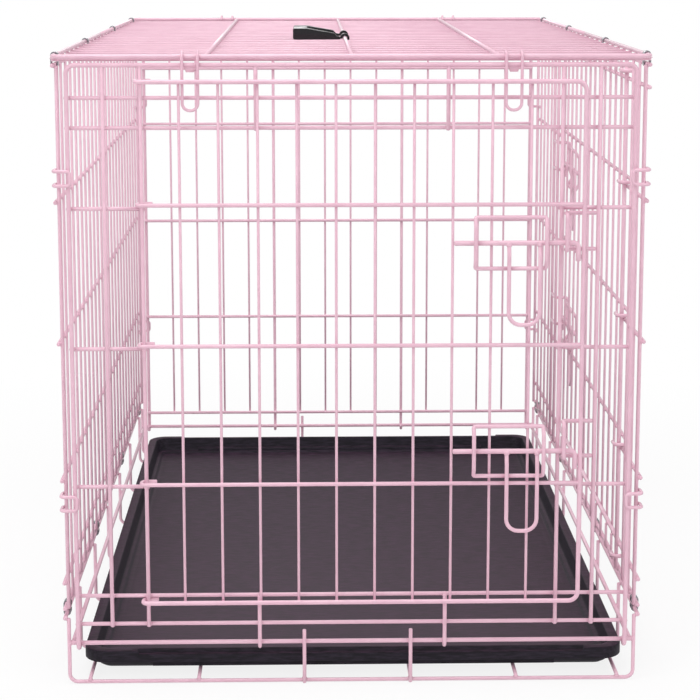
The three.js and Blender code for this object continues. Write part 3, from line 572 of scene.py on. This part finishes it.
# The corner hooks: doubled wires round the side panels' end bars, which hold the end panels square.
hook_wire = 3.5
prong_rise, prong_short = 7, 2
hook_front_y = panel_y + frame_wire / 2 + run_gap + hook_wire / 2
hook_round = rail_wire / 2 + touch_gap + hook_wire / 2
hook_out_x = thick_bar_x + hook_round
hook_back_y = side_end_y - hook_round
for end, end_name in ((-1, "front"), (1, "back")):
    for side, side_name in ((-1, "left"), (1, "right")):
        for level in ("lower", "upper"):
            name = f"{end_name}_{side_name}_{level}_corner_hook"
            hook_low, hook_high = mm_corners(name)
            z = (hook_low.z + hook_high.z) / 2

            def prong(height):
                """One of the two wires, from behind the side panel's end bar to the end panel's frame."""
                return [
                    (side * thick_bar_x, end * hook_back_y, height, 0),
                    (side * hook_out_x, end * hook_back_y, height, hook_round),
                    (side * hook_out_x, end * hook_front_y, height, hook_round),
                    (side * (panel_x - prong_short), end * hook_front_y, height, hook_wire),
                ]

            hook = bmesh.new()
            draw_wire(hook, [*prong(z + prong_rise), *reversed(prong(z - prong_rise))], hook_wire)
            make_piece(hook, f"{name}_wire", "cage", "painted_wire", powder_coat, name)


# The doors: a frame wire and three rails whose ends curl round the hinge jamb, with thin bars behind them.
# Each is drawn about its jamb, towards the latch and outwards, then turned into its doorway.
door_tail, door_bend, door_rail_lift = 10, 9, 4.6


def draw_door(standoff, width, bottom, levels, top, bars):
    """A door in millimetres about its jamb, its latch side towards +X and its outside towards -Y."""
    curl = rail_wire / 2 + run_gap + frame_wire / 2
    work = bmesh.new()

    def round_jamb(z):
        return [(door_tail, curl, z, 0), (-curl, curl, z, curl), (-curl, -standoff, z, curl)]

    draw_wire(
        work,
        [
            *round_jamb(top),
            (width, -standoff, top, door_bend),
            (width, -standoff, bottom, door_bend),
            *reversed(round_jamb(bottom)),
        ],
        frame_wire,
        16,
    )
    bar_place = -standoff + rail_wire / 2 + fill_wire / 2 - sink
    weld_place = -standoff + rail_wire / 2 - sink / 2
    for z in levels:
        draw_wire(work, [*round_jamb(z), (width, -standoff, z, 0)], rail_wire)
    for x in bars:
        draw_wire(work, [(x, bar_place, bottom, 0), (x, bar_place, top, 0)], fill_wire)
        for z in (bottom, *levels, top):
            add_weld(work, (x, weld_place, z), thin_weld)
    for z in levels:
        add_weld(work, (width, -standoff, z), 2.6, 2.2)
    return work


front_turn = Matrix.Translation((-jamb_x, -jamb_y, 0))
side_jamb = joint_place("side_door_swing")
side_turn = Matrix.Translation((side_jamb.x, side_jamb.y, 0)) @ Matrix.Rotation(pi / 2, 4, "Z")
front_standoff, side_standoff = 8.45, 10.6
door_low, door_high = mm_corners("front_door")
first_bar, door_bar_pitch, door_bars = 36.9, 37.62, 10
front_door = draw_door(
    front_standoff,
    door_high.x - frame_wire / 2 + jamb_x,
    door_low.z + frame_wire / 2,
    [z + door_rail_lift for z in (one, two, three)],
    door_high.z - frame_wire / 2,
    [first_bar + door_bar_pitch * step for step in range(door_bars)],
)
bmesh.ops.transform(front_door, matrix=front_turn, verts=front_door.verts)
make_piece(front_door, "front_door_leaf", "front_door", "painted_wire", powder_coat, "front_door")
door_low, door_high = mm_corners("side_door")
side_latch = (latch_space - hinge_space) * bar_pitch
side_door = draw_door(
    side_standoff,
    door_high.y - frame_wire / 2 - side_jamb.y,
    door_low.z + frame_wire / 2,
    [z + door_rail_lift for z in side_levels[1:4]],
    door_high.z - frame_wire / 2,
    [bar_pitch * step for step in range(1, latch_space - hinge_space)],
)
bmesh.ops.transform(side_door, matrix=side_turn, verts=side_door.verts)
make_piece(side_door, "side_door_leaf", "side_door", "painted_wire", powder_coat, "side_door")

# The slide bolts: a thick rod with a bent tip and a long finger pull, held to the door by a guide ring.
# A bent keeper on the panel takes the rod's tip.
bolt_rod = 5.0
rod_start, rod_end, tip_bend, tip_drop = -104.5, 15.8, 5, 18
pull_start, pull_end, pull_lean, pull_drop = -51.5, -21.5, 12.5, 80
guide_start, guide_end, guide_half, guide_crown = -84, -15.5, 25, 17
guide_seam = (-49.6, -49.9)
keeper_x, keeper_top, keeper_foot, keeper_bend = 4.3, 28, -7.3, 4
for door, turn, standoff, latch, reach in (
    ("front", front_turn, front_standoff, 2 * jamb_x, outer_bar_x - jamb_x),
    ("side", side_turn, side_standoff, side_latch, bar_pitch),
):
    bar_front = standoff - (rail_wire / 2 + fill_wire / 2 - sink) + fill_wire / 2
    rod = bar_front + run_gap + bolt_rod / 2
    over_rod = rod + bolt_rod / 2 + run_gap + rail_wire / 2
    guide_back = bar_front + touch_gap + rail_wire / 2
    pull = guide_back + rail_wire + run_gap
    keeper_end = reach - rail_wire / 2 - touch_gap
    for level in ("lower", "upper"):
        z = joint_place(f"{door}_{level}_bolt_turn").z
        seat = turn @ Matrix.Translation((latch, 0, z))
        bolt = bmesh.new()
        tip = [(rod_end, -rod, 0, tip_bend), (rod_end, -rod, -tip_drop, 0)]
        draw_wire(bolt, [(rod_start, -rod, 0, 0), *tip], bolt_rod, 16)
        draw_wire(
            bolt,
            [
                (pull_start, -rod, 0, 0),
                (pull_start, -pull, -pull_lean, 4),
                (pull_start, -pull, -pull_drop, 12),
                (pull_end, -pull, -pull_drop, 12),
                (pull_end, -pull, -pull_lean, 4),
                (pull_end, -rod, 0, 0),
            ],
            rail_wire,
        )
        for x in (pull_start, pull_end):
            add_weld(bolt, (x, -rod - 1.2, -1.6), 3.0, 2.6, 1)
        guide = bmesh.new()

        def guide_side(x, up):
            """One side of the ring: it steps out over the rod and back to the door's bars."""
            return [
                (x, -guide_back, -up * guide_half, 2),
                (x, -over_rod, -up * guide_crown, 4),
                (x, -over_rod, up * guide_crown, 4),
                (x, -guide_back, up * guide_half, 2),
            ]

        draw_wire(
            guide,
            [
                (guide_seam[0], -guide_back, -guide_half, 0),
                *guide_side(guide_end, 1),
                *guide_side(guide_start, -1),
                (guide_seam[1], -guide_back, -guide_half, 0),
            ],
            rail_wire,
        )
        keeper = bmesh.new()
        draw_wire(
            keeper,
            [
                (keeper_end, 0, keeper_top, 0),
                (keeper_x, 0, keeper_top, keeper_bend),
                (keeper_x, -over_rod, keeper_top, keeper_bend),
                (keeper_x, -over_rod, keeper_foot, keeper_bend),
                (keeper_x, 0, keeper_foot, keeper_bend),
                (keeper_end, 0, keeper_foot, 0),
            ],
            rail_wire,
        )
        holder = "front_end" if door == "front" else "cage"
        for work, kind, body in (
            (bolt, "slide_bolt", f"{door}_{level}_bolt"),
            (guide, "bolt_guide", f"{door}_door"),
            (keeper, "bolt_keeper", holder),
        ):
            bmesh.ops.transform(work, matrix=seat, verts=work.verts)
            node = f"{door}_{level}_{kind}"
            make_piece(work, f"{node}_wire", body, "painted_wire", powder_coat, node)

# The edge clips: short strips of zinc-plated spring steel, closed round the two wires where panels meet.
# The crystals of the plating show as a fine change of tone and polish.
zinc, metal, add, join = new_material("zinc plate")
metal.inputs["Metallic"].default_value = 1.0
where = add("TexCoord")
spangle = add("TexNoise", Scale=260.0, Detail=4.0)
join(where.outputs["Object"], spangle.inputs["Vector"])
shade = add("ValToRGB")
shade.color_ramp.elements[0].color = (0.16, 0.16, 0.18, 1)
shade.color_ramp.elements[1].color = (0.5, 0.5, 0.53, 1)
join(spangle.outputs["Fac"], shade.inputs["Fac"])
join(shade.outputs["Color"], metal.inputs["Base Color"])
polish = add("MapRange")
polish.inputs["To Min"].default_value = 0.16
polish.inputs["To Max"].default_value = 0.36
join(spangle.outputs["Fac"], polish.inputs["Value"])
join(polish.outputs["Result"], metal.inputs["Roughness"])

strip_thickness, strip_width, clip_pitch, strip_mouth = 1.2, 9.0, 8.5, 1.5
clip_round = frame_wire / 2 + touch_gap + strip_thickness / 2
for level in ("lower", "roof"):
    for side, side_name in ((-1, "left"), (1, "right")):
        for count in (1, 2, 3, 4):
            node = f"{level}_{side_name}_edge_clip_{count}"
            clip_low, clip_high = mm_corners(node)
            centre = (clip_low + clip_high) / 2
            strip = bmesh.new()
            inner = side * (side_x - clip_round)
            outer = side * (side_x + clip_round)
            half = clip_pitch / 2 + clip_round
            path = [
                (inner, centre.y, centre.z + strip_mouth, 0),
                (inner, centre.y, centre.z + half, clip_round),
                (outer, centre.y, centre.z + half, clip_round),
                (outer, centre.y, centre.z - half, clip_round),
                (inner, centre.y, centre.z - half, clip_round),
                (inner, centre.y, centre.z - strip_mouth, 0),
            ]
            section = Matrix.Translation(path[0][:3]) @ Matrix.Diagonal(
                (strip_thickness, strip_width, 1, 1)
            )
            made = bmesh.ops.create_grid(strip, x_segments=1, y_segments=1, size=0.5, matrix=section)
            ring = list(dict.fromkeys(edge for corner in made["verts"] for edge in corner.link_edges))
            ring = run_along(strip, ring, path)
            bmesh.ops.edgeloop_fill(strip, edges=ring)
            bmesh.ops.recalc_face_normals(strip, faces=strip.faces)
            sharp = [edge for edge in strip.edges if edge.calc_face_angle(0) > radians(50)]
            bmesh.ops.bevel(
                strip, geom=sharp, offset=0.25, segments=2, profile=0.5, affect="EDGES", material=-1
            )
            make_piece(strip, f"{node}_strip", "cage", "zinc_steel", zinc, node)

# The tray: one vacuum-formed pan of black plastic with a flat rim, a turned-down edge, nearly upright
# walls and a low ledge round its floor. It has a fine grain, rubbed in streaks across the crate. Every
# face that looks up is painted lighter and given a sheen, as painted top light.
plastic, tray_skin, add, join = new_material("grained black plastic")
tray_skin.inputs["Specular IOR Level"].default_value = 0.2
tray_skin.inputs["Sheen Roughness"].default_value = 0.4
tray_skin.inputs["Sheen Tint"].default_value = (1.0, 0.6, 0.85, 1)
where = add("TexCoord")
stretch = add("Mapping")
stretch.inputs["Scale"].default_value = (0.16, 1.0, 1.0)
join(where.outputs["Object"], stretch.inputs["Vector"])
streak = add("TexNoise", Scale=380.0, Detail=4.0, Roughness=0.65)
join(stretch.outputs["Vector"], streak.inputs["Vector"])
# Faces that look up get this lighter colour and the side faces the darker one below: painted top light.
tone = add("ValToRGB")
tone.color_ramp.elements[0].position = 0.4
tone.color_ramp.elements[0].color = (0.010, 0.006, 0.011, 1)
tone.color_ramp.elements[1].position = 0.62
tone.color_ramp.elements[1].color = (0.044, 0.023, 0.043, 1)
join(streak.outputs["Fac"], tone.inputs["Fac"])
shaded_side_colour = add("ValToRGB")
shaded_side_colour.color_ramp.elements[0].position = 0.4
shaded_side_colour.color_ramp.elements[0].color = (0.011, 0.009, 0.014, 1)
shaded_side_colour.color_ramp.elements[1].position = 0.62
shaded_side_colour.color_ramp.elements[1].color = (0.027, 0.021, 0.033, 1)
join(streak.outputs["Fac"], shaded_side_colour.inputs["Fac"])
# The attribute marks the faces that look up, where the lighter colour is painted as top light.
painted_top_light = add("Attribute", attribute_name="painted_top_light")
top_light_mix = add("Mix", data_type="RGBA")
join(painted_top_light.outputs["Fac"], top_light_mix.inputs[0])
join(shaded_side_colour.outputs["Color"], top_light_mix.inputs[6])
join(tone.outputs["Color"], top_light_mix.inputs[7])
join(top_light_mix.outputs[2], tray_skin.inputs["Base Color"])
# The sheen only on faces that look up: painted top light.
top_sheen = add("Math", operation="MULTIPLY")
top_sheen.inputs[1].default_value = 0.1
join(painted_top_light.outputs["Fac"], top_sheen.inputs[0])
join(top_sheen.outputs[0], tray_skin.inputs["Sheen Weight"])
rub = add("MapRange")
rub.inputs["To Min"].default_value = 0.52
rub.inputs["To Max"].default_value = 0.74
join(streak.outputs["Fac"], rub.inputs["Value"])
join(rub.outputs["Result"], tray_skin.inputs["Roughness"])
grain = add("TexVoronoi", Scale=900.0)
join(where.outputs["Object"], grain.inputs["Vector"])
leather = add("Bump", Strength=0.35, Distance=0.0003)
join(grain.outputs["Distance"], leather.inputs["Height"])
join(leather.outputs["Normal"], tray_skin.inputs["Normal"])

tray_low, tray_high = mm_corners("tray")
tray_middle = (tray_low + tray_high) / 2
half_x = (tray_high.x - tray_low.x) / 2
half_y = (tray_high.y - tray_low.y) / 2
rim_z = tray_high.z
wall = 2.5
pan_floor = tray_low.z + wall
tray = bmesh.new()


def corner_centre(point, inset, corner):
    """The centre of the tray's rounded corner nearest to a point, for an outline inset from its edge."""
    across = (half_x - inset - corner) * (1 if point.co.x > tray_middle.x else -1)
    along = (half_y - inset - corner) * (1 if point.co.y > tray_middle.y else -1)
    return Vector((tray_middle.x + across, tray_middle.y + along, 0))


def first_outline(work, inset, z, corner):
    """A rounded rectangle as a closed ring of edges, opened out from a circle."""
    made = bmesh.ops.create_circle(work, cap_ends=False, segments=48, radius=corner)["verts"]
    for point in made:
        # A point exactly on an axis belongs to the corner that it turns into.
        right = point.co.x + point.co.y * 0.001 > 0
        far = point.co.y - point.co.x * 0.001 > 0
        point.co.x += (half_x - inset - corner) * (1 if right else -1) + tray_middle.x
        point.co.y += (half_y - inset - corner) * (1 if far else -1) + tray_middle.y
        point.co.z = z
    return list(dict.fromkeys(edge for point in made for edge in point.link_edges))


def next_outline(work, ring, before, after):
    """Extrudes the ring from one step of the profile to the next."""
    grown = bmesh.ops.extrude_edge_only(work, edges=ring)["geom"]
    ends = [part for part in grown if isinstance(part, bmesh.types.BMVert)]
    for point in ends:
        outward = (point.co - corner_centre(point, before[0], before[2])) / before[2]
        place = corner_centre(point, after[0], after[2]) + outward * after[2]
        point.co = (place.x, place.y, after[1])
    held = set(ends)
    return [part for part in grown if isinstance(part, bmesh.types.BMEdge) and held.issuperset(part.verts)]


# How far the pan's mouth and foot stand in from the tray's edge, and how low the turned-down edge reaches.
mouth, foot, skirt_z = 10.8, 13.2, rim_z - 12.1
pan_under = tray_low.z
# The section, from the underside over the outer wall, the edge, the rim and the inner wall to the floor:
# inset from the tray's edge, height and corner radius.
profile = [
    (foot + 9, pan_under, 8),
    (foot + 4, pan_under + 0.5, 11),
    (foot + 0.6, pan_under + 2.6, 14),
    (mouth - 0.9, pan_under + 6.5, 17),
    (mouth - 2.2, rim_z - 3.4, 19),
    (mouth - 3.0, rim_z - wall, 20),
    (wall + 0.6, rim_z - wall, 22.6),
    (wall - 0.1, rim_z - wall - 0.8, 23),
    (wall - 0.2, skirt_z + 0.3, 23),
    (wall - 0.6, skirt_z, 23.2),
    (0.4, skirt_z, 23.6),
    (0, skirt_z + 0.5, 24),
    (0, rim_z - 1.3, 24),
    (0.35, rim_z - 0.4, 23.7),
    (1.2, rim_z, 22.8),
    (mouth - 1.2, rim_z, 18.6),
    (mouth - 0.3, rim_z - 0.4, 18.2),
    (mouth + 0.1, rim_z - 1.4, 18),
    (foot - 0.5, pan_floor + 4.4, 15.8),
    (foot + 0.3, pan_floor + 3.0, 15.2),
    (foot + 1.3, pan_floor + 2.6, 14.6),
    (foot + 3.9, pan_floor + 2.6, 13.2),
    (foot + 4.7, pan_floor + 2.2, 12.8),
    (foot + 6.6, pan_floor + 0.3, 11.8),
    (foot + 7.6, pan_floor, 11.3),
]
ring = under_ring = first_outline(tray, *profile[0])
for before, after in zip(profile, profile[1:]):
    ring = next_outline(tray, ring, before, after)
for end_ring in (under_ring, ring):
    bmesh.ops.edgeloop_fill(tray, edges=end_ring)
bmesh.ops.recalc_face_normals(tray, faces=tray.faces)
# The rim steps down along the middle of both ends, where the end panels fold over it.
notch_width, notch_depth, notch_drop, notch_slope = 449, 6, 3.5, 1.6
for end, shift in ((-1, 7.5), (1, 0)):
    for side in (-1, 1):
        for extra in (0, notch_slope):
            cut_x = tray_middle.x + shift + side * (notch_width / 2 + extra)
            near = [*tray.verts, *tray.edges, *tray.faces]
            bmesh.ops.bisect_plane(tray, geom=near, plane_co=(cut_x, 0, 0), plane_no=(1, 0, 0))
for end in (-1, 1):
    for extra in (0, 1.2):
        near = [*tray.verts, *tray.edges, *tray.faces]
        cut_y = tray_middle.y + end * (half_y - notch_depth - extra)
        bmesh.ops.bisect_plane(tray, geom=near, plane_co=(0, cut_y, 0), plane_no=(0, 1, 0))
for point in tray.verts:
    for end, shift in ((-1, 7.5), (1, 0)):
        across = abs(point.co.x - tray_middle.x - shift) < notch_width / 2 + 0.1
        outward = end * (point.co.y - tray_middle.y) > half_y - notch_depth - 0.1
        if across and outward and point.co.z > rim_z - 5:
            point.co.z -= notch_drop
# A bead with a sloping top stiffens the inner wall at both ends.
bead_size, bead_slope = (408, 9, 8.4), 3.6
for end in (-1, 1):
    bead = Matrix.Translation((tray_middle.x, tray_middle.y + end * (half_y - foot + 1), pan_floor + 5.2))
    corners = bmesh.ops.create_cube(tray, size=1, matrix=bead @ Matrix.Diagonal((*bead_size, 1)))["verts"]
    for corner in corners:
        if corner.co.z > pan_floor + 6 and end * (corner.co.y - tray_middle.y) < half_y - foot:
            corner.co.z -= bead_slope
            corner.co.y += 0.8 * end
    edges = list(dict.fromkeys(edge for corner in corners for edge in corner.link_edges))
    bmesh.ops.bevel(
        tray,
        geom=edges,
        offset=0.8,
        segments=2,
        profile=0.5,
        affect="EDGES",
        material=-1,
        clamp_overlap=True,
    )
# Painted top light: an attribute of each face, larger the more the face looks up, read by the plastic's
# material.
tray.normal_update()
painted_top_light_layer = tray.faces.layers.float.new("painted_top_light")
for face in tray.faces:
    face[painted_top_light_layer] = max(0, face.normal.z) ** 4
make_piece(tray, "tray_pan", "tray", "black_plastic", plastic, "tray")

# The carrying handle: a flat black bail that lies on the roof, each arm clipped round its middle bar.
# It is moulded in one piece, glossier than the tray, with softened edges.
gloss_plastic, handle_skin, add, join = new_material("smooth black plastic")
handle_skin.inputs["Specular IOR Level"].default_value = 0.45
where = add("TexCoord")
mottle = add("TexNoise", Scale=420.0, Detail=3.0)
join(where.outputs["Object"], mottle.inputs["Vector"])
ink = add("ValToRGB")
ink.color_ramp.elements[0].color = (0.006, 0.0055, 0.007, 1)
ink.color_ramp.elements[1].color = (0.012, 0.011, 0.014, 1)
join(mottle.outputs["Fac"], ink.inputs["Fac"])
join(ink.outputs["Color"], handle_skin.inputs["Base Color"])
satin = add("MapRange")
satin.inputs["To Min"].default_value = 0.16
satin.inputs["To Max"].default_value = 0.22
join(mottle.outputs["Fac"], satin.inputs["Value"])
join(satin.outputs["Result"], handle_skin.inputs["Roughness"])
dimple = add("Bump", Strength=0.06, Distance=0.0001)
join(mottle.outputs["Fac"], dimple.inputs["Height"])
join(dimple.outputs["Normal"], handle_skin.inputs["Normal"])

handle = bmesh.new()
handle.from_mesh(frame["nodes"]["carry_handle"].data)
same_point, flat_angle, sharp_angle, edge_round = 1e-5, radians(2), radians(38), 0.0009
bmesh.ops.remove_doubles(handle, verts=handle.verts, dist=same_point)
bmesh.ops.dissolve_limit(
    handle,
    angle_limit=flat_angle,
    verts=handle.verts,
    edges=handle.edges,
    use_dissolve_boundaries=False,
)
edges = [edge for edge in handle.edges if edge.is_manifold and edge.calc_face_angle(0) > sharp_angle]
bmesh.ops.bevel(
    handle,
    geom=edges,
    offset=edge_round,
    segments=3,
    profile=0.5,
    affect="EDGES",
    material=-1,
    clamp_overlap=True,
)
for face in handle.faces:
    face.smooth = True
bail = bpy.data.objects.new("carrying_handle", bpy.data.meshes.new("carrying_handle"))
handle.to_mesh(bail.data)
handle.free()
bail.data.materials.append(gloss_plastic)
bpy.context.scene.collection.objects.link(bail)
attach(bail, "handle")
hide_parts("carry_handle")

low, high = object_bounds()
